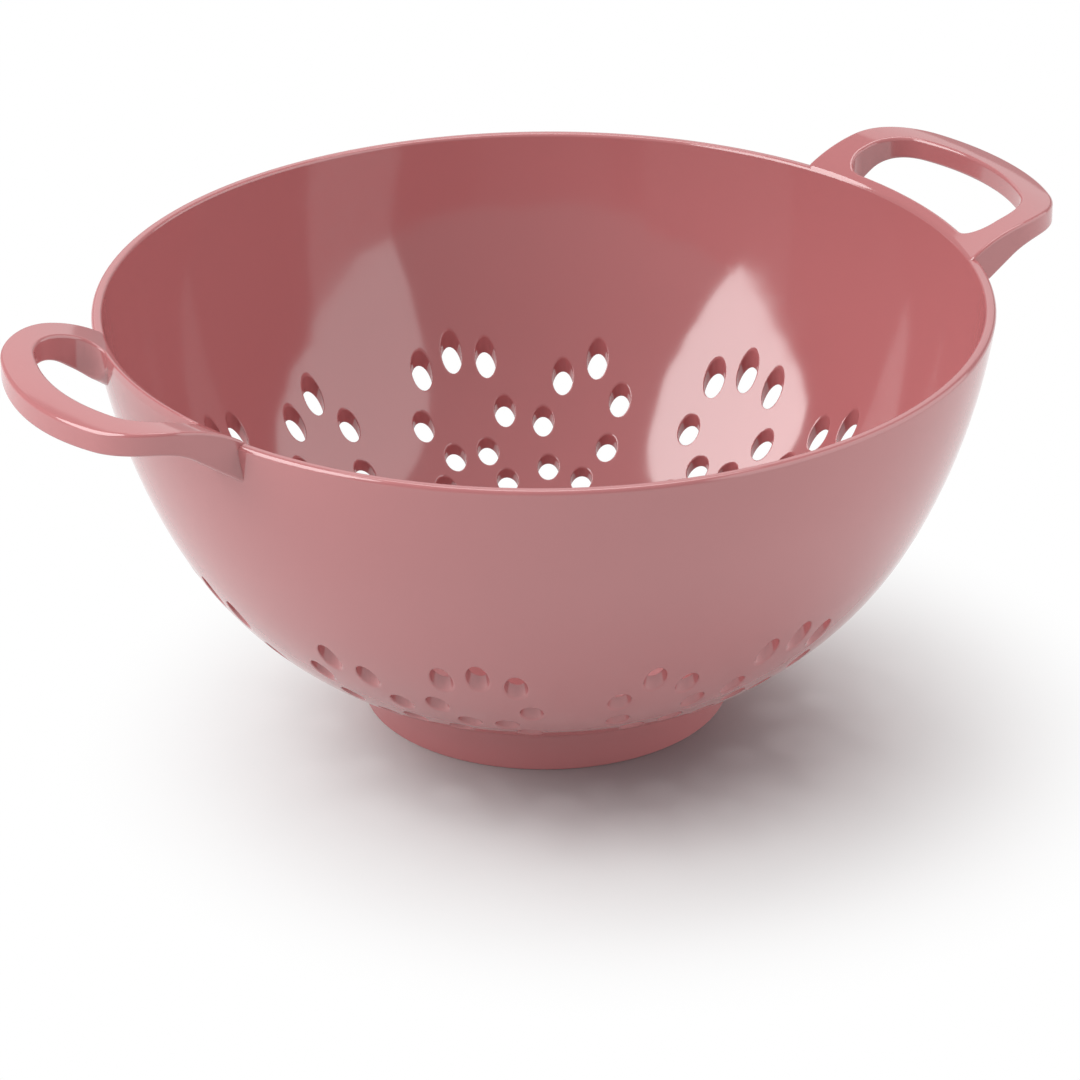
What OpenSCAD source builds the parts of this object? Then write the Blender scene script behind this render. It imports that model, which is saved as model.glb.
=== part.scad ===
// Melamine colander: a deep round bowl on a foot ring, with drain holes and two flared loop handles.
// The real object is one moulding. Its regions are separate solids here that meet face to face:
// rim lip, upper wall, drain wall, drain floor, foot ring and the two handles.
// The origin is the centre of the foot ring's base, +Z is up and the handles lie on the X axis.

/* [Bowl] */
// Outside diameter across the rim
rim_d = 240; // [210:1:280]
// Height of the rim above the table
bowl_h = 115.8; // [100:0.1:140]
// Thickness of the wall at the rim
rim_wall = 3; // [2:0.1:5]
// Thickness of the wall at the bottom
floor_wall = 2.6; // [1.5:0.1:4]
// Height of the floor's underside above the table
floor_lift = 4; // [2:0.1:8]
// Diameter of the flat in the middle of the floor
floor_flat_d = 26; // [10:1:50]
// Slope of the wall at the rim, in degrees from level
wall_slope = 83; // [78:0.5:88]
// Turn of the outside's tighter lower curve, in degrees
knee_turn = 64; // [56:0.1:68]
// How much farther the inside's lower curve turns, in degrees
inner_turn_more = 1; // [0.5:0.1:4]

/* [Rim lip] */
// Height of the plain band at the rim
lip_h = 6; // [3:0.5:12]
// Rounding of the rim's outer edge
lip_outer_round = 1.2; // [0.4:0.1:1.4]
// Rounding of the rim's inner edge
lip_inner_round = 1; // [0.4:0.1:1.2]

/* [Foot ring] */
// Outside diameter of the foot ring
foot_d = 100; // [90:1:108]
// Thickness of the foot ring
foot_wall = 3; // [2:0.1:5]
// Rounding of the foot ring's two edges on the table
foot_round = 0.6; // [0.2:0.1:0.9]

/* [Drain holes] */
// Diameter of every drain hole
hole_d = 6; // [3:0.1:7]
// How many times the pattern repeats round the bowl
repeats = 7; // [4:1:7]

/* [Handles] */
// How far each handle stands out from the rim
handle_out = 31.4; // [26:0.1:38]
// Width of each handle across its arms
handle_w = 80; // [70:1:100]
// Width of the bar, seen from above
bar_w = 8.8; // [6:0.1:12]
// Thickness of the bar, seen from the side
bar_t = 6.3; // [4:0.1:8]
// Height of the handle's crown above the rim
handle_rise = 7.8; // [4:0.1:12]
// Distance of the handle's crown out from the rim
crown_out = 20; // [16:0.1:24]
// Radius of the handle's bowed outer edge, seen from above
bow_r = 70; // [60:1:90]
// Radius of the handle's outer corners, seen from above
corner_r = 22; // [16:1:26]
// Radius of the fillets where the arms leave the rim
root_fillet_r = 6; // [2:0.1:8]
// Radius of the fall from the crown to the outer edge
fall_r = 46; // [35:1:80]
// Slope of the underside next to the bowl, in degrees
under_slope = 36.5; // [30:0.5:42]
// Radius where the underside's slope runs into the bar
under_r = 16; // [12:0.5:20]

/* [Hidden] */

// Overrun of every cut past the solid that it cuts
cut = 2;
// Share of its radius by which a round runs past the face that it leaves, so that the two cross
meet_share = 0.0005;
// Sides of the round shapes' preview
round_fn = 120;
hole_fn = 24;

rim_r = rim_d / 2;
mouth_r = rim_r - rim_wall;
foot_r = foot_d / 2;
foot_bore_r = foot_r - foot_wall;
flat_r = floor_flat_d / 2;
floor_top = floor_lift + floor_wall;
inner_turn = knee_turn + inner_turn_more;
crown_r = rim_r + crown_out;
handle_end = rim_r + handle_out;
repeat_angle = 360 / repeats;

// Places of the wall's holes, seen from above, as shares of the way from the foot ring to the rim:
// the upper and lower rosettes' centres, the pairs below the upper rosettes and the lowest row
wall_run = rim_r - foot_r;
upper_rosette_share = 0.5614;
lower_rosette_share = 0.5071;
pair_share = 0.3329;
low_row_share = 0.1714;
upper_rosette_at = foot_r + upper_rosette_share * wall_run;
lower_rosette_at = foot_r + lower_rosette_share * wall_run;
pair_at = foot_r + pair_share * wall_run;
low_row_at = foot_r + low_row_share * wall_run;
// Distance from a rosette's centre to its farthest holes, as a share of the same way
rosette_share = 0.1771;
rosette_r = rosette_share * wall_run;
// One rosette: seven holes round an open centre, as [angle from its axis, share of rosette_r]
rosette_shares = [
    [0, 0.774], [52, 0.984], [-52, 0.984], [100, 1], [-100, 1], [152, 0.839], [-152, 0.839]
];
// Where the rosettes and the pair stand within one repeat, and how far each rosette is turned
upper_angle_share = 0.449;
upper_turn = 2.7;
lower_angle_share = 0.021;
lower_turn = -119.2;
pair_spread_share = 0.137;
low_row_angle_share = 0.2;
// The floor's rows, as [share of the foot ring's bore radius, holes in each repeat]
floor_row_shares = [[0.255, 1], [0.532, 2], [0.809, 3]];

// Radii of two arcs that run tangent into each other: the lower leaves a level floor and turns
// through angle turn, and the upper ends at angle slope, run outward and rise upward from the start
function arc_det(turn, slope) =
    sin(turn) * (cos(turn) - cos(slope)) - (1 - cos(turn)) * (sin(slope) - sin(turn));
function lower_arc_r(run, rise, turn, slope) =
    (run * (cos(turn) - cos(slope)) - rise * (sin(slope) - sin(turn))) / arc_det(turn, slope);
function upper_arc_r(run, rise, turn, slope) =
    (rise * sin(turn) - run * (1 - cos(turn))) / arc_det(turn, slope);

// Radii of the outside's and the inside's two arcs
outer_low_r = lower_arc_r(rim_r - flat_r, bowl_h - floor_lift, knee_turn, wall_slope);
outer_high_r = upper_arc_r(rim_r - flat_r, bowl_h - floor_lift, knee_turn, wall_slope);
inner_low_r = lower_arc_r(mouth_r - flat_r, bowl_h - floor_top, inner_turn, wall_slope);
inner_high_r = upper_arc_r(mouth_r - flat_r, bowl_h - floor_top, inner_turn, wall_slope);

// Centre of the upper arc that ends at the rim, at distance end_r from the bowl's axis
function high_centre(end_r, arc_r) =
    [end_r - arc_r * sin(wall_slope), bowl_h + arc_r * cos(wall_slope)];

// Half section of a body that fills the bowl from its floor to the rim
module bowl_fill(end_r, floor_z, low_r, high_r, turn) {
    joint_z = floor_z + low_r * (1 - cos(turn));
    // Flat floor, up to the rim
    translate([0, floor_z])
        square([flat_r, bowl_h - floor_z]);
    // Lower arc, up to the height at which it runs into the upper one
    intersection() {
        translate([flat_r, floor_z + low_r])
            circle(r = low_r, $fn = round_fn * 2);
        translate([flat_r, floor_z - cut])
            square([end_r, joint_z - floor_z + cut]);
    }
    // Upper arc, up to the rim
    intersection() {
        translate(high_centre(end_r, high_r))
            circle(r = high_r, $fn = round_fn * 2);
        translate([flat_r, joint_z])
            square([end_r, bowl_h - joint_z]);
    }
}

// Ring of section between two edge roundings, below the rim's flat top
module edge_round(centre, r, from, to) {
    reach = r + cut;
    difference() {
        polygon([centre, centre + reach * from, centre + reach * (from + to), centre + reach * to]);
        translate(centre)
            circle(r = r * (1 + meet_share), $fn = round_fn);
    }
}

// Height and distance from the axis of the centres of the rim's two edge roundings
outer_centre = high_centre(rim_r, outer_high_r);
inner_centre = high_centre(mouth_r, inner_high_r);
outer_round_z = bowl_h - lip_outer_round;
outer_round_at = outer_centre[0]
    + sqrt(pow(outer_high_r - lip_outer_round, 2) - pow(outer_centre[1] - outer_round_z, 2));
inner_round_z = bowl_h - lip_inner_round;
inner_round_at = inner_centre[0]
    + sqrt(pow(inner_high_r + lip_inner_round, 2) - pow(inner_centre[1] - inner_round_z, 2));

// Reach of the drain holes from the bowl's axis, and the height at which the inside clears them
hole_reach = upper_rosette_at + rosette_r + hole_d / 2;
plain_from_z = inner_centre[1] - sqrt(pow(inner_high_r, 2) - pow(hole_reach - inner_centre[0], 2));

function unit(v) = v / norm(v);

// Half section of the bowl's outside, filled, with the rim's outer edge rounded
module outer_fill() {
    difference() {
        bowl_fill(rim_r, floor_lift, outer_low_r, outer_high_r, knee_turn);
        edge_round([outer_round_at, outer_round_z], lip_outer_round, [0, 1],
            unit([outer_round_at, outer_round_z] - outer_centre));
    }
}

// Half section of the bowl's wall
module wall_section() {
    difference() {
        outer_fill();
        bowl_fill(mouth_r, floor_top, inner_low_r, inner_high_r, inner_turn);
        edge_round([inner_round_at, inner_round_z], lip_inner_round, [0, 1],
            unit(inner_centre - [inner_round_at, inner_round_z]));
    }
}

// Half section of the wall between two heights and two distances from the axis
module wall_part(low_z, high_z, low_at, high_at) {
    rotate_extrude($fn = round_fn)
        intersection() {
            wall_section();
            translate([low_at, low_z])
                square([high_at - low_at, high_z - low_z]);
        }
}

// One drain hole, straight down through the whole bowl
module drain_hole(at, angle) {
    rotate(angle)
        translate([at, 0, 0])
            cylinder(d = hole_d, h = bowl_h, $fn = hole_fn);
}

// The seven holes of a rosette whose centre lies at a distance and an angle
module rosette(at, angle, turn) {
    rotate(angle)
        translate([at, 0, 0])
            for (place = rosette_shares)
                drain_hole(place[1] * rosette_r, turn + place[0]);
}

// All holes of the wall
module wall_holes() {
    for (k = [0 : repeats - 1]) {
        rosette(upper_rosette_at, (k + upper_angle_share) * repeat_angle, upper_turn);
        rosette(lower_rosette_at, (k + lower_angle_share) * repeat_angle, lower_turn);
        for (side = [-1, 1])
            drain_hole(pair_at, (k + upper_angle_share + side * pair_spread_share) * repeat_angle);
        for (half = [0, 0.5])
            drain_hole(low_row_at, (k + low_row_angle_share + half) * repeat_angle);
    }
}

// All holes of the floor inside the foot ring
module floor_holes() {
    for (row = floor_row_shares)
        for (k = [0 : repeats * row[1] - 1])
            drain_hole(row[0] * foot_bore_r, (k + 0.5) * repeat_angle / row[1]);
}

// Plain band at the rim, with its rounded edges
module rim_lip() {
    color([0.80, 0.52, 0.54])
        wall_part(bowl_h - lip_h, bowl_h + cut, 0, rim_r + cut);
}

// Plain wall from the drain holes up to the band
module upper_wall() {
    color([0.77, 0.49, 0.51])
        wall_part(plain_from_z, bowl_h - lip_h, 0, rim_r + cut);
}

// Curved wall from the foot ring to the plain wall, with its drain holes
module drain_wall() {
    color([0.74, 0.45, 0.47])
        difference() {
            wall_part(0, plain_from_z, foot_r, rim_r + cut);
            wall_holes();
        }
}

// Floor inside the foot ring, with its drain holes
module drain_floor() {
    color([0.70, 0.41, 0.43])
        difference() {
            wall_part(0, bowl_h, 0, foot_r);
            floor_holes();
        }
}

// Ring that the colander stands on
module foot_ring() {
    edge_z = foot_round;
    color([0.66, 0.40, 0.43])
        rotate_extrude($fn = round_fn)
            difference() {
                translate([foot_bore_r, 0])
                    square([foot_wall, bowl_h / 2]);
                outer_fill();
                edge_round([foot_r - foot_round, edge_z], foot_round, [0, -1], [1, 0]);
                edge_round([foot_bore_r + foot_round, edge_z], foot_round, [0, -1], [-1, 0]);
            }
}

// The handle's top rises in one arc from the rim's inner edge to the crown
crown_z = bowl_h + handle_rise;
rise_r = (pow(crown_r - mouth_r, 2) + pow(handle_rise, 2)) / (2 * handle_rise);
under_z = crown_z - bar_t;
// Height that holds a whole handle, from its crown down
handle_drop = handle_rise + bar_t + crown_out;

// Half section of a handle, turned about the bowl's axis and cut out of its outline later
module handle_section() {
    low_z = crown_z - handle_drop;
    end_at = handle_end + cut;
    under_centre = [crown_r, under_z - under_r];
    slope_start = under_centre
        - under_r * (1 - meet_share) * [sin(under_slope), -cos(under_slope)];
    slope_run = slope_start[0] - mouth_r;
    difference() {
        translate([inner_round_at, low_z])
            square([end_at - inner_round_at, handle_drop + cut]);
        // Above the top, from the rim to the crown
        difference() {
            translate([mouth_r - cut, low_z])
                square([crown_r - mouth_r + cut, handle_drop + 2 * cut]);
            translate([crown_r, crown_z - rise_r])
                circle(r = rise_r, $fn = round_fn);
        }
        // Above the top, from the crown to the outer edge
        difference() {
            translate([crown_r, low_z])
                square([handle_out + cut, handle_drop + 2 * cut]);
            translate([crown_r, crown_z - fall_r])
                circle(r = fall_r, $fn = round_fn);
        }
        // Hollow below the bar, outward from the crown
        intersection() {
            translate([crown_r, crown_z - fall_r])
                circle(r = fall_r - bar_t, $fn = round_fn);
            translate([crown_r, low_z - cut])
                square([handle_out + cut, handle_drop + 2 * cut]);
        }
        // Hollow below the bar, from the crown to the slope
        intersection() {
            translate(under_centre)
                circle(r = under_r, $fn = round_fn);
            translate([crown_r - under_r - cut, low_z - cut])
                square([under_r + cut, handle_drop + 2 * cut]);
        }
        // Below the slope that runs down to the bowl
        polygon([
            under_centre,
            slope_start,
            slope_start - [slope_run, slope_run * tan(under_slope)],
            [mouth_r, low_z - handle_drop],
            [crown_r, low_z - handle_drop]
        ]);
        outer_fill();
    }
}

// Outline of a handle seen from above: a bowed end, two round corners and straight arms,
// drawn in from its outer edge by a given amount
module handle_outline(inset) {
    half_w = handle_w / 2 - inset;
    bow_at = handle_end - bow_r;
    corner_side = handle_w / 2 - corner_r;
    corner_at = bow_at + sqrt(pow(bow_r - corner_r, 2) - pow(corner_side, 2));
    difference() {
        intersection() {
            translate([bow_at, 0])
                circle(r = bow_r - inset, $fn = round_fn * 2);
            translate([0, -half_w])
                square([handle_end, 2 * half_w]);
        }
        for (side = [-1, 1])
            edge_round([corner_at, side * corner_side], corner_r - inset, [0, side],
                unit([corner_at - bow_at, side * corner_side]));
    }
}

// The finger gap seen from above, with a fillet at each arm's root
module finger_gap() {
    fillet_side = handle_w / 2 - bar_w - root_fillet_r;
    fillet_at = sqrt(pow(rim_r + root_fillet_r, 2) - pow(fillet_side, 2));
    difference() {
        handle_outline(bar_w);
        for (side = [-1, 1])
            difference() {
                polygon([
                    [fillet_at, side * fillet_side],
                    [fillet_at, side * handle_w],
                    [0, side * handle_w],
                    [0, 0]
                ]);
                translate([fillet_at, side * fillet_side])
                    circle(r = root_fillet_r * (1 + meet_share), $fn = round_fn);
            }
    }
}

module handle() {
    // Half of the angle that the section turns through, past both arms
    span = 2 * asin(handle_w / 2 / mouth_r);
    color([0.82, 0.58, 0.60])
        difference() {
            intersection() {
                rotate(-span)
                    rotate_extrude(angle = 2 * span, $fn = round_fn)
                        handle_section();
                translate([0, 0, crown_z - handle_drop - cut])
                    linear_extrude(handle_drop + 2 * cut)
                        handle_outline(0);
            }
            // The gap stops at the rim, along which the handle's top runs on as a low ridge
            translate([0, 0, outer_round_z])
                linear_extrude(handle_drop)
                    difference() {
                        finger_gap();
                        circle(r = rim_r, $fn = round_fn * 2);
                    }
            translate([0, 0, outer_round_z - handle_drop - cut])
                linear_extrude(handle_drop + cut)
                    finger_gap();
        }
}

// Loop handle on the -X side
module handle_left() {
    rotate(180)
        handle();
}

// Loop handle on the +X side
module handle_right() {
    handle();
}

rim_lip();
upper_wall();
drain_wall();
drain_floor();
foot_ring();
handle_left();
handle_right();
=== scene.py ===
# %% [markdown]
# A melamine colander, dressed for its portrait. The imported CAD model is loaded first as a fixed
# frame: it says where every region of the moulding is, and how large. The script then makes a
# finer skin for each region, in metres and in the same place, and hides the plain solid behind it.

# %% Load the frame
import math

import bpy
from mathutils import Matrix, Quaternion, Vector
from mathutils.geometry import delaunay_2d_cdt


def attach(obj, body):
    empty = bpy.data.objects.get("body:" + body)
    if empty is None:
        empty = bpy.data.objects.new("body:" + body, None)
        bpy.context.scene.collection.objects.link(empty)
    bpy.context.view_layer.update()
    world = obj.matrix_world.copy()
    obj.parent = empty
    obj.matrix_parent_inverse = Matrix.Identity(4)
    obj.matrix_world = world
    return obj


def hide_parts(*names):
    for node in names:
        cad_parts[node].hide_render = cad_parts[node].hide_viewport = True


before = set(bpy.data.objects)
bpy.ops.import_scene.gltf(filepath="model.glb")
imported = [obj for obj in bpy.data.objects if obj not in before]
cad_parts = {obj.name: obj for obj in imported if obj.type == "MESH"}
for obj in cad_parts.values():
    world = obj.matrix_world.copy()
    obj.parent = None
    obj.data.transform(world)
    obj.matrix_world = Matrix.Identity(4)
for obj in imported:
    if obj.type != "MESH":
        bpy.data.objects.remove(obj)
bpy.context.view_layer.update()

# %% [markdown]
# The photograph was taken from well above the rim with a long lens, so the ellipses of the rim and
# the foot are nearly alike. The camera stands about 1.4 m from the bowl, a little to the left of
# its front. Its place and lens were worked out from the outlines of the rim, foot and handles. A
# constraint could aim it, but a matrix of its three axes also holds the slight roll.

# %% Camera
mm = 0.001
scene = bpy.context.scene
camera_data = bpy.data.cameras.new("photo_camera")
camera_data.sensor_width = 36
camera_data.lens = 169.92
camera = bpy.data.objects.new("photo_camera", camera_data)
scene.collection.objects.link(camera)
bench_turn = math.radians(30.82)
camera_yaw, camera_tilt, camera_roll = -0.00112, 0.45675, -0.0067
camera_distance, camera_height = 1242.75 * mm, 654.57 * mm
look_turn = bench_turn + camera_yaw
look = Vector((
    math.sin(look_turn) * math.cos(camera_tilt),
    math.cos(look_turn) * math.cos(camera_tilt),
    -math.sin(camera_tilt),
))
level_right = Vector((math.cos(look_turn), -math.sin(look_turn), 0))
level_up = level_right.cross(look)
right = math.cos(camera_roll) * level_right + math.sin(camera_roll) * level_up
up = right.cross(look)
camera_place = Vector((
    -camera_distance * math.sin(bench_turn),
    -camera_distance * math.cos(bench_turn),
    camera_height,
))
camera_axes = Matrix((right, up, -look)).transposed()
camera.matrix_world = Matrix.Translation(camera_place) @ camera_axes.to_4x4()
camera_data.clip_start, camera_data.clip_end = 0.05, 20
scene.camera = camera
print("camera at", tuple(round(part, 4) for part in camera_place))

# %% [markdown]
# The bowl is turned about one axis. Its outside and its inside are each a small flat, a tighter low
# arc and a wide high arc that runs to the rim. A spline through a few points would look alike, but
# arcs give an exact slope everywhere, which the gloss needs. One small class holds such a curve and
# answers what the skins ask: how high is it at a distance from the axis, and how steep.

# %% The bowl's two curves
rim_r, bowl_h, rim_wall = 120 * mm, 115.8 * mm, 3 * mm
floor_wall, floor_lift, flat_r = 2.6 * mm, 4 * mm, 13 * mm
wall_slope = math.radians(83)


class BowlCurve:
    """One face of the wall in half section, from the middle of the floor to the rim. turn is the
    slope where its two arcs meet, and side is 1 for the inside and -1 for the outside."""

    def __init__(self, end_r, floor_z, turn, side):
        run, rise = end_r - flat_r, bowl_h - floor_z
        sin_t, cos_t = math.sin(turn), math.cos(turn)
        sin_s, cos_s = math.sin(wall_slope), math.cos(wall_slope)
        det = sin_t * (cos_t - cos_s) - (1 - cos_t) * (sin_s - sin_t)
        self.low_r = (run * (cos_t - cos_s) - rise * (sin_s - sin_t)) / det
        self.high_r = (rise * sin_t - run * (1 - cos_t)) / det
        self.low_z = floor_z + self.low_r
        self.high_at = end_r - self.high_r * sin_s
        self.high_z = bowl_h + self.high_r * cos_s
        self.joint_at = flat_r + self.low_r * sin_t
        self.side = side

    def angle(self, at):
        """Slope from level at a distance from the axis."""
        if at <= flat_r:
            return 0.0
        if at <= self.joint_at:
            return math.asin((at - flat_r) / self.low_r)
        return math.asin(min(1.0, (at - self.high_at) / self.high_r))

    def height(self, at):
        angle = self.angle(at)
        if at <= self.joint_at:
            return self.low_z - self.low_r * math.cos(angle)
        return self.high_z - self.high_r * math.cos(angle)

    def spot(self, angle):
        """Distance from the axis, height and normal at a slope on the high arc."""
        at = self.high_at + self.high_r * math.sin(angle)
        z = self.high_z - self.high_r * math.cos(angle)
        return (at, z), (-self.side * math.sin(angle), self.side * math.cos(angle))

    def angle_at_height(self, z):
        return math.acos((self.high_z - z) / self.high_r)


outside = BowlCurve(rim_r, floor_lift, math.radians(64), -1)
inside = BowlCurve(rim_r - rim_wall, floor_lift + floor_wall, math.radians(65), 1)
for name, curve in (("outside", outside), ("inside", inside)):
    print(f"{name}: low arc {curve.low_r / mm:.1f} mm, high arc {curve.high_r / mm:.1f} mm")

# %% [markdown]
# Melamine is a hard, opaque resin with its colour all through. Pressed in a polished tool it comes
# out glossy, with a very slight unevenness that shows only where it mirrors something. One even
# colour and one gloss would be simpler, but the real thing is never quite so even. So three soft
# noises vary the dusty rose, the polish and the lie of the surface. They are made from object
# coordinates, so they run on unbroken from one region to the next, as in one moulding.

# %% The melamine
rose_deep = (0.435, 0.142, 0.146, 1)
rose_pale = (0.475, 0.160, 0.165, 1)
smoothest, dullest = 0.06, 0.11
swell_height = 0.18 * mm


def make_melamine():
    material = bpy.data.materials.new("rose_melamine")
    material.use_nodes = True
    nodes, links = material.node_tree.nodes, material.node_tree.links
    shader = nodes["Principled BSDF"]
    place = nodes.new("ShaderNodeTexCoord")

    def noise(scale, detail):
        made = nodes.new("ShaderNodeTexNoise")
        made.inputs["Scale"].default_value = scale
        made.inputs["Detail"].default_value = detail
        links.new(place.outputs["Object"], made.inputs["Vector"])
        return made.outputs["Fac"]

    base_colour_mix = nodes.new("ShaderNodeMix")
    base_colour_mix.data_type = "RGBA"
    base_colour_mix.inputs["A"].default_value = rose_deep
    base_colour_mix.inputs["B"].default_value = rose_pale
    links.new(noise(14, 4), base_colour_mix.inputs["Factor"])
    links.new(base_colour_mix.outputs["Result"], shader.inputs["Base Color"])
    polish = nodes.new("ShaderNodeMapRange")
    polish.inputs["To Min"].default_value = smoothest
    polish.inputs["To Max"].default_value = dullest
    links.new(noise(120, 3), polish.inputs["Value"])
    links.new(polish.outputs["Result"], shader.inputs["Roughness"])
    swell = nodes.new("ShaderNodeBump")
    swell.inputs["Strength"].default_value = 0.5
    swell.inputs["Distance"].default_value = swell_height
    links.new(noise(55, 1), swell.inputs["Height"])
    links.new(swell.outputs["Normal"], shader.inputs["Normal"])
    shader.inputs["IOR"].default_value = 1.65
    shader.inputs["Specular IOR Level"].default_value = 0.75
    return material


melamine = make_melamine()
print("material:", melamine.name)

# %% [markdown]
# Every region gets a closed skin. Subdividing a coarse cage could round it, but might open the
# seams between the regions. So a skin is built ring by ring: each ring is a row of points with a
# normal for each, and a strip of faces joins two rings. The normals come from the curves and not
# from the flat faces, so the gloss runs smoothly over the faces and over the seams.

# %% A skin in the making
class Skin:
    def __init__(self):
        self.points, self.faces, self.normals = [], [], []

    def ring(self, points):
        first = len(self.points)
        self.points.extend(Vector(point) for point in points)
        return list(range(first, len(self.points)))

    def face(self, corners, normals):
        """Adds a face and turns it so that it looks the way that its normals point."""
        a, b, c = (self.points[k] for k in corners[:3])
        flat = (b - a).cross(c - b)
        if len(corners) == 4:
            flat = (c - a).cross(self.points[corners[3]] - b)
        if flat.dot(Vector(normals[0]) + Vector(normals[1]) + Vector(normals[2])) < 0:
            corners, normals = corners[::-1], normals[::-1]
        self.faces.append(tuple(corners))
        self.normals.extend(normals)

    def strip(self, ring_a, normals_a, ring_b, normals_b):
        """Joins two closed rings of as many points."""
        count = len(ring_a)
        for k in range(count):
            n = (k + 1) % count
            self.face(
                [ring_a[k], ring_a[n], ring_b[n], ring_b[k]],
                [normals_a[k], normals_a[n], normals_b[n], normals_b[k]],
            )

    def finish(self, name, node):
        mesh = bpy.data.meshes.new(name)
        mesh.from_pydata(self.points, [], self.faces)
        mesh.polygons.foreach_set("use_smooth", [True] * len(self.faces))
        mesh.normals_split_custom_set([tuple(normal) for normal in self.normals])
        mesh.materials.append(melamine)
        piece = bpy.data.objects.new(name, mesh)
        scene.collection.objects.link(piece)
        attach(piece, "root")
        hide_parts(node)
        print(f"{name}: {len(self.faces)} faces")
        return piece


# %% [markdown]
# The rim lip, the plain upper wall and the foot ring are turned shapes, like clay on a wheel. Each
# is a closed section swept once round the axis. Blender's Screw modifier sweeps too, but works the
# normals out by itself. Here a section is given as runs: inside a run the normals flow, and where
# two runs meet the edge stays crisp.

# %% Turned pieces
turn_steps = 196


def around(at, z, count=turn_steps):
    steps = [2 * math.pi * k / count for k in range(count)]
    return [(at * math.cos(step), at * math.sin(step), z) for step in steps]


def turned_piece(name, node, runs):
    skin = Skin()
    rings = {}
    for run in runs:
        for (at, z), _ in run:
            key = (round(at, 8), round(z, 8))
            if key not in rings:
                rings[key] = skin.ring(around(at, z))
    for run in runs:
        for ((at_a, z_a), n_a), ((at_b, z_b), n_b) in zip(run, run[1:]):
            skin.strip(
                rings[round(at_a, 8), round(z_a, 8)], around(*n_a),
                rings[round(at_b, 8), round(z_b, 8)], around(*n_b),
            )
    return skin.finish(name, node)


print(f"{turn_steps} steps round the axis, {2 * math.pi * rim_r / turn_steps / mm:.1f} mm each")

# %% Runs of a section
def arc_run(centre, r, start, end, steps):
    """Run along an arc whose normals point out from its centre. Angles in degrees."""
    run = []
    for k in range(steps + 1):
        angle = math.radians(start + (end - start) * k / steps)
        way = (math.cos(angle), math.sin(angle))
        run.append(((centre[0] + r * way[0], centre[1] + r * way[1]), way))
    return run


def wall_run(curve, low_z, high_z, steps):
    """Run along a face of the bowl's wall, from one height to another."""
    low, high = curve.angle_at_height(low_z), curve.angle_at_height(high_z)
    return [curve.spot(low + (high - low) * k / steps) for k in range(steps + 1)]


# %% [markdown]
# The lip is the plain band at the rim. Its top is a narrow flat between two rounded edges. A bevel
# modifier could round them, but it would upset the normals that a skin brings along. So each
# rounding is an arc that touches the wall's own curve and the level top. The plain wall under the
# lip is a piece of its own, and its two ends stay crisp, because they lie hidden in the moulding.

# %% Rim lip
lip_h, outer_round, inner_round, round_steps = 6 * mm, 1.2 * mm, 1.0 * mm, 7
outer_z, inner_z = bowl_h - outer_round, bowl_h - inner_round
outer_at = outside.high_at + math.sqrt(
    (outside.high_r - outer_round) ** 2 - (outside.high_z - outer_z) ** 2
)
inner_at = inside.high_at + math.sqrt(
    (inside.high_r + inner_round) ** 2 - (inside.high_z - inner_z) ** 2
)
outer_lean = math.degrees(math.atan2(outer_z - outside.high_z, outer_at - outside.high_at))
inner_lean = math.degrees(math.atan2(inside.high_z - inner_z, inside.high_at - inner_at))
lip_base = bowl_h - lip_h
rim_outer = arc_run((outer_at, outer_z), outer_round, outer_lean, 90, round_steps)
rim_inner = arc_run((inner_at, inner_z), inner_round, 90, inner_lean, round_steps)
lip_steps = 3
lip_wall_out = wall_run(outside, lip_base, rim_outer[0][0][1], lip_steps)
lip_wall_in = wall_run(inside, lip_base, rim_inner[-1][0][1], lip_steps)
lip_bottom = [(lip_wall_in[0][0], (0, -1)), (lip_wall_out[0][0], (0, -1))]
rim_out_run = lip_wall_out[:-1] + rim_outer + rim_inner + lip_wall_in[:-1][::-1]
turned_piece("rim_lip_skin", "rim_lip", [rim_out_run, lip_bottom])

# %% Upper wall
hole_reach, upper_steps = 104.7 * mm, 10
plain_from_z = inside.height(hole_reach)
upper_out = wall_run(outside, plain_from_z, lip_base, upper_steps)
upper_in = wall_run(inside, plain_from_z, lip_base, upper_steps)
upper_bottom = [(upper_in[0][0], (0, -1)), (upper_out[0][0], (0, -1))]
upper_top = [(upper_in[-1][0], (0, 1)), (upper_out[-1][0], (0, 1))]
turned_piece("upper_wall_skin", "upper_wall", [upper_out, upper_top, upper_in, upper_bottom])

# %% [markdown]
# The foot ring stands under the bowl, and on the real moulding a small fillet carries it into the
# bowl's underside. The fillet shows as the thin pale line round the top of the foot. A bevel can't
# cross from one mesh to the next, so the fillet is part of the ring's own section: an arc whose
# middle is one radius away from the ring's upright face and from the bowl's low arc.

# %% Foot ring
foot_r, foot_bore_r = 50 * mm, 47 * mm
foot_round, foot_fillet, fillet_steps, sole_steps = 0.6 * mm, 1.6 * mm, 6, 5


def foot_fillet_run(at_wall, side):
    """Fillet between the ring's upright face and the bowl's underside, on one side of the ring."""
    centre_at = at_wall + side * foot_fillet
    reach = outside.low_r + foot_fillet
    centre_z = outside.low_z - math.sqrt(reach ** 2 - (centre_at - flat_r) ** 2)
    lean = math.degrees(math.atan2(outside.low_z - centre_z, flat_r - centre_at))
    start = 180 if side > 0 else 0
    run = arc_run((centre_at, centre_z), foot_fillet, start, lean, fillet_steps)
    return [(spot, (-way[0], -way[1])) for spot, way in run]


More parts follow.
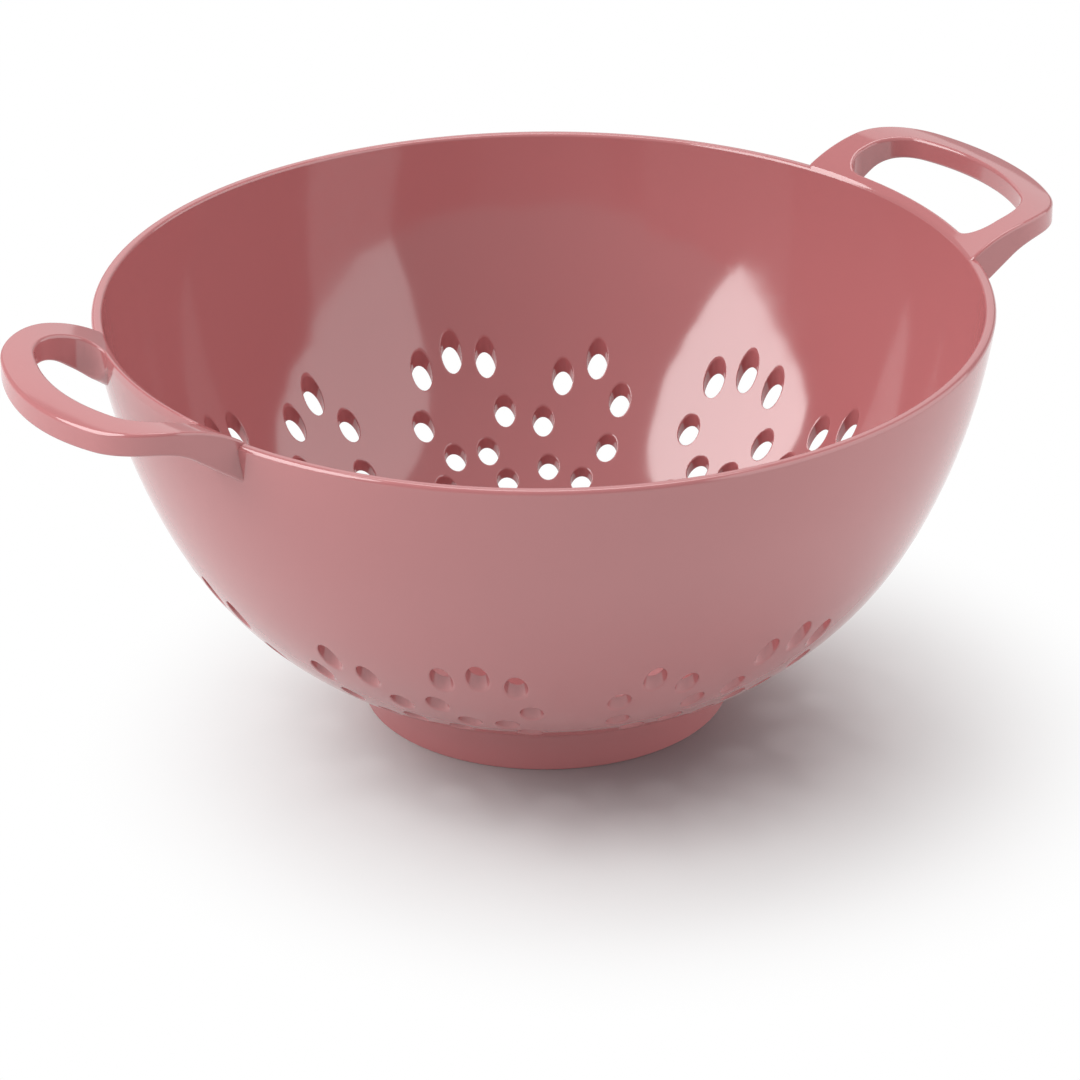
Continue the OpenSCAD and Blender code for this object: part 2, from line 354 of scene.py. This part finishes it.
fillet_out = foot_fillet_run(foot_r, 1)
fillet_in = foot_fillet_run(foot_bore_r, -1)
sole_out = arc_run((foot_r - foot_round, foot_round), foot_round, 0, -90, sole_steps)
sole_in = arc_run((foot_bore_r + foot_round, foot_round), foot_round, 270, 180, sole_steps)
foot_run = fillet_out[::-1] + sole_out + sole_in + fillet_in
foot_cap = [(fillet_in[-1][0], (0, 1)), (fillet_out[-1][0], (0, 1))]
turned_piece("foot_ring_skin", "foot_ring", [foot_run, foot_cap])

# %% [markdown]
# The drain holes are bored straight down through the shell, in line with the way the tool opens, so
# seen from above they are true circles. Boolean cutters could bore them, but leave ragged faces
# round 168 holes, and the gloss would show every one. So the wall is made from a flat plan: a sheet
# of triangles with round holes in it is lifted onto the inside curve and onto the outside curve,
# and the two sheets are joined by the bores. The mouths are softened as on the moulding.

# %% Where the drain holes are
hole_r, repeats = 3 * mm, 7
repeat_angle = 2 * math.pi / repeats
wall_way = rim_r - foot_r
# A rosette is seven holes round a bare middle: degrees round it, and share of rosette_r
rosette_r = 0.1771 * wall_way
rosette_places = [
    (0, 0.774), (52, 0.984), (-52, 0.984), (100, 1), (-100, 1), (152, 0.839), (-152, 0.839)
]
# Each repeat has an upper and a lower rosette, a pair of holes under the upper one and two single
# holes near the foot. at is a distance from the axis, share a share of the repeat's angle, and
# turn is in degrees.
upper_at, upper_share, upper_turn = foot_r + 0.5614 * wall_way, 0.449, 2.7
lower_at, lower_share, lower_turn = foot_r + 0.5071 * wall_way, 0.021, -119.2
pair_at, pair_spread = foot_r + 0.3329 * wall_way, 0.137
single_at, single_shares = foot_r + 0.1714 * wall_way, (0.2, 0.7)
# Rows of the floor: share of the foot's bore, and holes in each repeat
floor_rows = [(0.255, 1), (0.532, 2), (0.809, 3)]
print(f"{len(rosette_places)} holes in a rosette, {rosette_r / mm:.1f} mm from its middle")

# %% Lay out the drain holes
def polar(at, angle):
    return Vector((at * math.cos(angle), at * math.sin(angle)))


def rosette(at, angle, turn):
    return [
        polar(at, angle) + polar(share * rosette_r, angle + math.radians(turn + place))
        for place, share in rosette_places
    ]


wall_holes, floor_holes = [], []
for k in range(repeats):
    upper_angle = (k + upper_share) * repeat_angle
    wall_holes += rosette(upper_at, upper_angle, upper_turn)
    wall_holes += rosette(lower_at, (k + lower_share) * repeat_angle, lower_turn)
    for spread in (-pair_spread, pair_spread):
        wall_holes.append(polar(pair_at, upper_angle + spread * repeat_angle))
    for share in single_shares:
        wall_holes.append(polar(single_at, (k + share) * repeat_angle))
for share, times in floor_rows:
    for k in range(repeats * times):
        floor_holes.append(polar(share * foot_bore_r, (k + 0.5) * repeat_angle / times))
print(len(wall_holes), "wall holes,", len(floor_holes), "floor holes")

# %% Rows of spots for a plan
bore_steps = 28
mouth_width = 0.6 * mm
row_step, edge_gap = 3.1 * mm, 0.9 * mm
same_place, on_ring = 1e-9, 1e-7
past_slivers, inside_mouth = 1.002, 0.9


def spot_rows(start, end, spread):
    """Rings of spots about the axis, as distances and counts. A smaller spread gives more spots."""
    rows, at = [], start
    while at < end:
        rows.append((at, max(8, int(at / spread))))
        at += row_step
    return rows


# %% A plan with round holes in it
def plan_sheet(rings, holes):
    """Triangles of a flat sheet between rings about the axis, with a round hole at each place. A
    sheet whose first ring is a single spot has no inner edge."""
    spots, edges, hole_ids = [], [], []
    has_bore = rings[0][1] > 1
    edge_rings = (rings[0], rings[-1]) if has_bore else (rings[-1],)
    for ring in rings:
        first, (at, count) = len(spots), ring
        for k in range(count):
            spot = polar(at, 2 * math.pi * k / count)
            keep_off = hole_r + mouth_width + edge_gap
            if ring in edge_rings or all((spot - hole).length > keep_off for hole in holes):
                spots.append(spot)
        if ring in edge_rings:
            edges += [(first + k, first + (k + 1) % count) for k in range(count)]
    for hole in holes:
        first = len(spots)
        for k in range(bore_steps):
            spots.append(hole + polar(hole_r + mouth_width, 2 * math.pi * k / bore_steps))
        hole_ids.append(list(range(first, first + bore_steps)))
        edges += [(first + k, first + (k + 1) % bore_steps) for k in range(bore_steps)]
    made = delaunay_2d_cdt(spots, edges, [], 0, same_place)
    origin = [ids[0] for ids in made[3]]
    # Left out are the triangles inside the holes, and slivers along the inner edge
    inner_at = rings[0][0] * past_slivers if has_bore else 0
    hole_at = hole_r + mouth_width * inside_mouth
    triangles = []
    for face in made[2]:
        ids = [origin[k] for k in face]
        middle = sum((spots[k] for k in ids), Vector((0, 0))) / 3
        in_ring = inner_at < middle.length < rings[-1][0]
        if in_ring and all((middle - hole).length > hole_at for hole in holes):
            triangles.append(ids)
    return spots, triangles, hole_ids


def edge_ring(plan, at):
    """Ids of the spots of a plan's edge ring at a distance from the axis, in order."""
    spots = plan[0]
    return [k for k, spot in enumerate(spots) if abs(spot.length - at) < on_ring][:turn_steps]


# %% [markdown]
# Lifting a plan is simple: each spot keeps its place and takes its height and slope from a curve.
# At the mouth of a hole the face rolls over by a quarter turn, in four short steps, until it looks
# into the bore. A modelled roll costs faces, but it catches a real glint all the way round, which
# a painted edge can't do when the colander is turned.

# %% Lift a plan onto the bowl's curves
def lifted(curve, spot, lean=0.0, size=0.0, out=Vector((0, 0))):
    """Point and normal above a plan spot. Near an edge the face rolls over by the angle lean,
    towards the way out of the material."""
    at = spot.length
    steep = math.tan(curve.angle(at))
    away = spot / at if at > 0 else Vector((1, 0))
    z = curve.height(at) - curve.side * size * (1 - math.cos(lean))
    flow = -curve.side * steep * math.cos(lean) * away + math.sin(lean) * out
    normal = Vector((flow.x, flow.y, curve.side * math.cos(lean))).normalized()
    return (spot.x, spot.y, z), normal


# %% The mouth of a hole
mouth_leans = [math.radians(degrees) for degrees in (0, 24, 46, 68, 90)]
mouth_sizes = {inside.side: 0.42 * mm, outside.side: 0.6 * mm}


def bore_mouth(skin, curve, hole, last, last_normals):
    """Strips that roll from a face's edge round a hole into its bore. Returns the last ring."""
    size = mouth_sizes[curve.side]
    steps = [2 * math.pi * k / bore_steps for k in range(bore_steps)]
    for lean in mouth_leans:
        if lean == 0 and size >= mouth_width:
            continue
        away = hole_r + size * (1 - math.sin(lean))
        made = [
            lifted(curve, hole + polar(away, step), lean, size, -polar(1, step)) for step in steps
        ]
        fresh = skin.ring(point for point, _ in made)
        fresh_normals = [normal for _, normal in made]
        skin.strip(last, last_normals, fresh, fresh_normals)
        last, last_normals = fresh, fresh_normals
    return last, last_normals


print(f"mouths rolled over {mouth_sizes[1] / mm:.2f} mm inside, {mouth_sizes[-1] / mm:.2f} outside")

# %% A bored skin
def bored_skin(plan, holes):
    """Both faces of a bored wall with the bores between them. Returns the skin, and the ids and
    normals of each face's spots by the side that the face is on."""
    spots, triangles, hole_ids = plan
    skin = Skin()
    sheets = {}
    for curve in (inside, outside):
        raised = [lifted(curve, spot) for spot in spots]
        ids = skin.ring(point for point, _ in raised)
        normals = [normal for _, normal in raised]
        for corners in triangles:
            skin.face([ids[k] for k in corners], [normals[k] for k in corners])
        sheets[curve.side] = (ids, normals)
    for hole, ring in zip(holes, hole_ids):
        ends = []
        for curve in (inside, outside):
            ids, normals = sheets[curve.side]
            last, last_normals = [ids[k] for k in ring], [normals[k] for k in ring]
            ends.append(bore_mouth(skin, curve, hole, last, last_normals))
        skin.strip(*ends[0], *ends[1])
    return skin, sheets


# %% [markdown]
# The drain wall reaches from the foot ring to just above the highest holes. Its plan stops a little
# short of its top, where a few plain rings take over, so that it ends on the same level ring of
# points as the upper wall above it. Two pieces that share their points show no gap between them.

# %% Drain wall
sheet_end = 103.6 * mm
wall_rings = spot_rows(foot_r + 3.3 * mm, sheet_end - 2.5 * mm, 0.55 * mm)
wall_rings = [(foot_r, turn_steps)] + wall_rings + [(sheet_end, turn_steps)]
wall_plan = plan_sheet(wall_rings, wall_holes)
wall_skin, wall_sheets = bored_skin(wall_plan, wall_holes)
inner_edge, outer_edge = edge_ring(wall_plan, foot_r), edge_ring(wall_plan, sheet_end)
print(len(inner_edge), len(outer_edge), "points on the sheet's two edges")

# %% Drain wall, above its plan
tops = []
for curve, steps in ((inside, 1), (outside, 4)):
    ids, normals = wall_sheets[curve.side]
    last, last_normals = [ids[k] for k in outer_edge], [normals[k] for k in outer_edge]
    start, end = curve.angle(sheet_end), curve.angle_at_height(plain_from_z)
    for k in range(steps):
        (at, z), way = curve.spot(start + (end - start) * (k + 1) / steps)
        fresh, fresh_normals = wall_skin.ring(around(at, z)), around(*way)
        wall_skin.strip(last, last_normals, fresh, fresh_normals)
        last, last_normals = fresh, fresh_normals
    tops.append(last)
level, inward = [(0, 0, 1)] * turn_steps, around(-1, 0)
wall_skin.strip(tops[0], level, tops[1], level)
wall_skin.strip(
    [wall_sheets[1][0][k] for k in inner_edge], inward,
    [wall_sheets[-1][0][k] for k in inner_edge], inward,
)
wall_skin.finish("drain_wall_skin", "drain_wall")

# %% [markdown]
# The drain floor is the same shell inside the foot ring, with 42 holes that let the last water out.
# A plain disc would do for its flat middle, but its outer part already climbs, so it is lifted from
# a plan too, and it meets the drain wall right over the foot ring.

# %% Drain floor
floor_rings = spot_rows(3.2 * mm, foot_r - 2 * mm, 0.5 * mm)
floor_rings = [(0.001 * mm, 1)] + floor_rings + [(foot_r, turn_steps)]
floor_plan = plan_sheet(floor_rings, floor_holes)
floor_skin, floor_sheets = bored_skin(floor_plan, floor_holes)
floor_edge, outward = edge_ring(floor_plan, foot_r), around(1, 0)
floor_skin.strip(
    [floor_sheets[1][0][k] for k in floor_edge], outward,
    [floor_sheets[-1][0][k] for k in floor_edge], outward,
)
floor_skin.finish("drain_floor_skin", "drain_floor")

# %% [markdown]
# Each handle is a loop: a bar of nearly even width round a gap for two or three fingers. From above
# it is a bowed end, two round corners and two straight arms. From the side it rises in an arc out
# of the rim's inner edge and falls again to its end. A bevelled curve would give a round bar, and
# this one is flat on top and thickens to its root. So it too is made from a plan, lifted onto a top
# and a bottom that depend on the distance from the bowl's axis, with all its edges softened.

# %% The handle's top and bottom
handle_end, handle_half, bar_w, bar_t = 151.4 * mm, 40 * mm, 8.8 * mm, 6.3 * mm
crown_at, crown_z = 140 * mm, 123.6 * mm
mouth_r = rim_r - rim_wall
rise = crown_z - bowl_h
rise_r = ((crown_at - mouth_r) ** 2 + rise ** 2) / (2 * rise)
fall_r, under_r, under_slope = 46 * mm, 16 * mm, math.radians(36.5)
root_r, ridge_r, ridge_blend = 6 * mm, 119.85 * mm, 2 * mm
root_side = handle_half - bar_w - root_r
root_at = math.sqrt((ridge_r + root_r) ** 2 - root_side ** 2)
ridge_side = root_side * ridge_r / (ridge_r + root_r) - ridge_blend
hidden_depth, hidden_slope = 1.8 * mm, 0.25


def handle_top(spot):
    at = spot.length
    r = rise_r if at < crown_at else fall_r
    return crown_z - r + math.sqrt(r ** 2 - (at - crown_at) ** 2)


def handle_bottom(spot):
    at = spot.length
    if at >= crown_at:
        r = fall_r - bar_t
        return crown_z - fall_r + math.sqrt(r ** 2 - (at - crown_at) ** 2)
    slope_at = crown_at - under_r * math.sin(under_slope)
    centre_z = crown_z - bar_t - under_r
    if at >= slope_at:
        return centre_z + math.sqrt(under_r ** 2 - (at - crown_at) ** 2)
    z = centre_z + under_r * math.cos(under_slope) - (slope_at - at) * math.tan(under_slope)
    if at > root_at + root_r:
        return z
    # Between the arms only the low ridge is left, and its bottom lies hidden in the lip
    share = (abs(spot.y) - ridge_side) / (root_side + root_r - ridge_side)
    share = min(1.0, max(0.0, share))
    share = share * share * (3 - 2 * share)
    hidden_z = bowl_h - hidden_depth - (ridge_r - at) * hidden_slope
    return hidden_z + (z - hidden_z) * share


bar_end = Vector((handle_end, 0))
print(f"bar at its end: {(handle_top(bar_end) - handle_bottom(bar_end)) / mm:.1f} mm thick")

# %% [markdown]
# The outline is drawn with arcs and straight lines, as a pattern maker would, and each spot on it
# keeps the way out of the material. That way is what lets the edge be rolled over later. Half an
# outline is drawn and mirrored, so that both arms are alike.

# %% Spots along an outline
outline_step, outline_turn = 0.7 * mm, 9
too_near = 0.05 * mm


def outline_arc(centre, r, start, end, hollow=False):
    """Spots along an arc, in degrees, with the way out of the material at each."""
    sweep = abs(end - start)
    steps = max(2, int(math.radians(sweep) * r / outline_step), int(sweep / outline_turn))
    made = []
    for k in range(steps + 1):
        way = polar(1, math.radians(start + (end - start) * k / steps))
        made.append((Vector(centre) + r * way, -way if hollow else way))
    return made


def outline_line(start, end, side, way, steps):
    """Spots between the ends of a straight arm, from one distance to another."""
    spots = [Vector((start + (end - start) * k / steps, side)) for k in range(1, steps)]
    return [(spot, Vector((0, way))) for spot in spots]


def mirrored(half):
    """The other half of an outline, so that the whole runs on in one direction."""
    return [(Vector((s.x, -s.y)), Vector((w.x, -w.y))) for s, w in half][::-1]


def whole_outline(half):
    """The closed outline, without spots that stand on their neighbour."""
    kept = []
    for spot, way in half + mirrored(half):
        if not kept or (spot - kept[-1][0]).length > too_near:
            kept.append((spot, way))
    if (kept[0][0] - kept[-1][0]).length < too_near:
        kept.pop()
    return kept


# %% The handle's outline
bow_r, corner_r, heel_r = 70 * mm, 22 * mm, 1.4 * mm
bow_at = handle_end - bow_r
corner_side = handle_half - corner_r
corner_at = bow_at + math.sqrt((bow_r - corner_r) ** 2 - corner_side ** 2)
root_in = 116.88 * mm
bow_lean = math.degrees(math.atan2(corner_side, corner_at - bow_at))
heel_side = handle_half - heel_r
heel_at = math.sqrt((root_in + heel_r) ** 2 - heel_side ** 2)
heel_lean = math.degrees(math.atan2(heel_side, heel_at))
root_lean = math.degrees(math.atan2(root_side, root_at))
corner = (corner_at, corner_side)

outer_half = outline_arc((bow_at, 0), bow_r, 0, bow_lean)
outer_half += outline_arc(corner, corner_r, bow_lean, 90)
outer_half += outline_line(corner_at, heel_at, handle_half, 1, 10)
outer_half += outline_arc((heel_at, heel_side), heel_r, 90, 180 + heel_lean)
outer_half += outline_arc((0, 0), root_in, heel_lean, 0, hollow=True)[1:]

gap_half = outline_arc((bow_at, 0), bow_r - bar_w, 0, bow_lean, hollow=True)
gap_half += outline_arc(corner, corner_r - bar_w, bow_lean, 90, hollow=True)
gap_half += outline_line(corner_at, root_at, handle_half - bar_w, -1, 5)
gap_half += outline_arc((root_at, root_side), root_r, 90, 180 + root_lean, hollow=True)
gap_half += outline_arc((0, 0), ridge_r, root_lean, 0)[1:]

outer_outline, gap_outline = whole_outline(outer_half), whole_outline(gap_half)
print(len(outer_outline), "spots round the handle,", len(gap_outline), "round its gap")

# %% [markdown]
# The top and the bottom of the bar share one plan of triangles. It lies inside the soft edge, so
# its own outline is the drawn one moved in by the edge's radius, and a staggered grid of spots
# fills it. A voxel remesh would make such faces too, but it would blur the outline.

# %% Where the bar's flat part is
soft_edge = 1.0 * mm


def within(spot, loop):
    """Whether a line from the spot crosses the closed loop an odd number of times."""
    crossings = False
    for (a, b) in zip(loop, loop[1:] + loop[:1]):
        if (a.y > spot.y) != (b.y > spot.y):
            if spot.x < a.x + (spot.y - a.y) / (b.y - a.y) * (b.x - a.x):
                crossings = not crossings
    return crossings


flat_loops = [
    [spot - soft_edge * way for spot, way in outline] for outline in (outer_outline, gap_outline)
]


def on_bar(spot):
    return within(spot, flat_loops[0]) and not within(spot, flat_loops[1])


# %% The handle's plan
grid_from, grid_step, grid_across = 108 * mm, 1.6 * mm, 1.6 * mm * 1.1
grid_rows, grid_half = 26, 25
edge_spots = flat_loops[0] + flat_loops[1]
flat_spots, flat_edges, first = list(edge_spots), [], 0
for loop in flat_loops:
    flat_edges += [(first + k, first + (k + 1) % len(loop)) for k in range(len(loop))]
    first += len(loop)
for i in range(grid_rows):
    for j in range(-grid_half, grid_half + 1):
        spot = Vector((grid_from + (i + 0.5 * (j % 2)) * grid_across, j * grid_step))
        near = min((spot - edge).length for edge in edge_spots)
        if near > edge_gap and on_bar(spot):
            flat_spots.append(spot)
made = delaunay_2d_cdt(flat_spots, flat_edges, [], 0, same_place)
flat_triangles = []
for face in made[2]:
    corners = [made[3][k][0] for k in face]
    if on_bar(sum((flat_spots[k] for k in corners), Vector((0, 0))) / 3):
        flat_triangles.append(corners)
print(len(flat_triangles), "triangles in the handle's plan")

# %% A spot on the bar
slope_reach = 0.05 * mm
no_edge = Vector((0, 0))


def bar_spot(height, side, spot, way, lean, size):
    """Point and normal of a handle's top or bottom, rolled over by lean at its edge."""
    step_x, step_y = Vector((slope_reach, 0)), Vector((0, slope_reach))
    rise_x = (height(spot + step_x) - height(spot - step_x)) / (2 * slope_reach)
    rise_y = (height(spot + step_y) - height(spot - step_y)) / (2 * slope_reach)
    z = height(spot) - side * size * (1 - math.cos(lean))
    normal = Vector((
        -side * rise_x * math.cos(lean) + way.x * math.sin(lean),
        -side * rise_y * math.cos(lean) + way.y * math.sin(lean),
        side * math.cos(lean),
    )).normalized()
    return Vector((spot.x, spot.y, z)), normal


# %% Handles
edge_leans = [math.radians(degrees) for degrees in (90, 72, 54, 36, 18, 0)]


def handle_skin(name, node, turn):
    skin = Skin()
    spin = Matrix.Rotation(turn, 3, "Z")
    borders = []

    def spun_ring(made):
        return skin.ring(spin @ point for point, _ in made), [spin @ normal for _, normal in made]

    for height, side in ((handle_top, 1), (handle_bottom, -1)):
        ids, normals = [], []
        for outline in (outer_outline, gap_outline):
            last = None
            for lean in edge_leans:
                inset = soft_edge * (1 - math.sin(lean))
                fresh = spun_ring([
                    bar_spot(height, side, spot - inset * way, way, lean, soft_edge)
                    for spot, way in outline
                ])
                if last is None:
                    borders.append(fresh)
                else:
                    skin.strip(*last, *fresh)
                last = fresh
            ids += last[0]
            normals += last[1]
        inner = flat_spots[len(ids):]
        fresh = spun_ring([bar_spot(height, side, spot, no_edge, 0, 0) for spot in inner])
        ids += fresh[0]
        normals += fresh[1]
        for corners in flat_triangles:
            skin.face([ids[k] for k in corners], [normals[k] for k in corners])
    for top, bottom in zip(borders[:2], borders[2:]):
        skin.strip(*top, *bottom)
    return skin.finish(name, node)


handle_skin("handle_right_skin", "handle_right", 0)
handle_skin("handle_left_skin", "handle_left", math.pi)

# %% [markdown]
# The picture has a white ground with a soft shadow. A floor that glows white all over would take no
# shadow. So near the colander it is pale paper, lit by the lamps, which takes the shadow and the
# rose that the bowl throws onto it. Farther off, what looks at the paper or mirrors it sees it pass
# into pure white, as a long sweep would. The shadow is deepest in front of the foot, and there a
# shadow is painted on the paper too: seen from the camera, its colour darkens towards that spot.
# From below the paper is clear, so that the foot and the floor holes can be seen.

# %% How the paper fades
deepest_shade = (1 * mm, -36 * mm, 0)
white_from, white_to = 45 * mm, 150 * mm
# Painted shadow: seen from the camera, the paper's colour darkens towards the deepest shade, from
# the outer to the inner distance below.
painted_shadow_from, painted_shadow_to = 10 * mm, 80 * mm
paper_colour, painted_shadow_colour = (0.70, 0.70, 0.70, 1), (0.31, 0.27, 0.28, 1)


def either_ray(nodes, links, ray, other):
    """1 for both kinds of ray, 0 for every other."""
    either = nodes.new("ShaderNodeMath")
    either.operation = "MAXIMUM"
    links.new(ray, either.inputs[0])
    links.new(other, either.inputs[1])
    return either.outputs["Value"]


def faded(nodes, links, away, ray, values):
    """A share that changes with the distance from the deepest shade, for one kind of ray."""
    fade = nodes.new("ShaderNodeMapRange")
    fade.interpolation_type = "SMOOTHSTEP"
    for key, value in zip(("From Min", "From Max", "To Min", "To Max"), values):
        fade.inputs[key].default_value = value
    both = nodes.new("ShaderNodeMath")
    both.operation = "MULTIPLY"
    links.new(away, fade.inputs["Value"])
    links.new(ray, both.inputs[0])
    links.new(fade.outputs["Result"], both.inputs[1])
    return both.outputs["Value"]


print(f"white beyond {white_to / mm:.0f} mm, darkest within {painted_shadow_from / mm:.0f} mm")

# %% Two shaders mixed
def mixed(nodes, links, share, first, second):
    """The first shader where the share is 0, the second where it is 1."""
    mix = nodes.new("ShaderNodeMixShader")
    for source, entry in zip((share, first, second), mix.inputs):
        links.new(source, entry)
    return mix.outputs["Shader"]


# %% The paper
def make_paper():
    material = bpy.data.materials.new("white_paper")
    material.use_nodes = True
    nodes, links = material.node_tree.nodes, material.node_tree.links
    shader = nodes["Principled BSDF"]
    shader.inputs["Roughness"].default_value = 0.9
    white = nodes.new("ShaderNodeEmission")
    white.inputs["Strength"].default_value = 1
    clear = nodes.new("ShaderNodeBsdfTransparent")
    place = nodes.new("ShaderNodeTexCoord")
    away = nodes.new("ShaderNodeVectorMath")
    away.operation = "DISTANCE"
    away.inputs[1].default_value = deepest_shade
    links.new(place.outputs["Object"], away.inputs[0])
    rays = nodes.new("ShaderNodeLightPath").outputs
    looked_at = rays["Is Camera Ray"]
    seen = either_ray(nodes, links, looked_at, rays["Is Glossy Ray"])
    seen = either_ray(nodes, links, seen, rays["Is Transmission Ray"])
    way = away.outputs["Value"]
    whiteness = faded(nodes, links, way, seen, (white_from, white_to, 0, 1))
    # Painted shadow: camera rays see the paper's colour darken near the deepest shade.
    painted_shadow_share = faded(nodes, links, way, looked_at, (painted_shadow_from, painted_shadow_to, 1, 0))
    base_colour_mix = nodes.new("ShaderNodeMix")
    base_colour_mix.data_type = "RGBA"
    base_colour_mix.inputs["A"].default_value = paper_colour
    base_colour_mix.inputs["B"].default_value = painted_shadow_colour
    links.new(painted_shadow_share, base_colour_mix.inputs["Factor"])
    links.new(base_colour_mix.outputs["Result"], shader.inputs["Base Color"])
    side = nodes.new("ShaderNodeNewGeometry")
    above = mixed(nodes, links, whiteness, shader.outputs["BSDF"], white.outputs["Emission"])
    both = mixed(nodes, links, side.outputs["Backfacing"], above, clear.outputs["BSDF"])
    links.new(both, nodes["Material Output"].inputs["Surface"])
    return material


# %% Floor
floor_half = 12
floor_mesh = bpy.data.meshes.new("paper_floor")
floor_mesh.from_pydata(
    [(-floor_half, -floor_half, 0), (floor_half, -floor_half, 0),
     (floor_half, floor_half, 0), (-floor_half, floor_half, 0)], [], [(0, 1, 2, 3)]
)
floor_mesh.materials.append(make_paper())
floor = bpy.data.objects.new("paper_floor", floor_mesh)
scene.collection.objects.link(floor)
print(f"floor: {2 * floor_half} m of paper each way")

# %% [markdown]
# A glossy bowl is lit by what it mirrors, so the lamps are chosen for their mirror images. Its
# inside shows two pale shapes with round corners, a bright one on the right and a dim one on the
# left. A picture of a studio wrapped round the scene would give some, but not these. Following the
# camera's rays off the curve tells where lamps must stand: a round soft box on the bowl's left,
# which is mirrored on the right, and a wider, weaker one on its right, mirrored on the left. A low
# one behind the bowl and one nearly overhead light the handles and the floor. The room is dim.

# %% World
world = bpy.data.worlds.new("studio")
scene.world = world
world.use_nodes = True
sky = world.node_tree.nodes["Background"]
sky.inputs["Color"].default_value = (1, 1, 1, 1)
sky.inputs["Strength"].default_value = 0.40
print("world:", world.name, round(sky.inputs["Strength"].default_value, 2))

# %% Lamps
lamp_aim = Vector((0, 0, 60 * mm))


def soft_box(name, turn, lift, distance, width, height, glow, roll=0):
    """A round soft box that faces the bowl. turn and lift say where it stands, seen from the bowl,
    in degrees, and glow how bright it looks, where 1 is white."""
    light = bpy.data.lights.new(name, "AREA")
    light.shape = "ELLIPSE"
    light.size, light.size_y = width, height
    area = math.pi / 4 * width * height
    light.energy = glow * math.pi * area
    turn, lift = math.radians(turn), math.radians(lift)
    way = Vector((
        math.cos(turn) * math.cos(lift), math.sin(turn) * math.cos(lift), math.sin(lift)
    ))
    lamp = bpy.data.objects.new(name, light)
    lamp.location = distance * way + lamp_aim
    lamp.rotation_mode = "QUATERNION"
    facing = (-way).to_track_quat("-Z", "Y")
    lamp.rotation_quaternion = facing @ Quaternion((0, 0, 1), math.radians(roll))
    lamp.visible_camera = False
    scene.collection.objects.link(lamp)
    print(f"{name}: {light.energy:.1f} W")


soft_box("left_box", 163, 36.6, 1.5, 1.29, 1.80, 4.0, roll=32)
soft_box("right_box", 322, 18, 1.66, 2.8, 2.8, 1.2)
soft_box("back_box", 59, 26, 2.0, 2.6, 0.9, 0.6)
soft_box("top_box", 59, 72, 1.8, 1.2, 1.0, 2.6)

# %% [markdown]
# The dressed colander has to be as large as the imported solids, because both stand for one object.
# Last, the colours are shown as written, with the Standard view transform.

# %% Finish with plain colours
scene.view_settings.view_transform = "Standard"
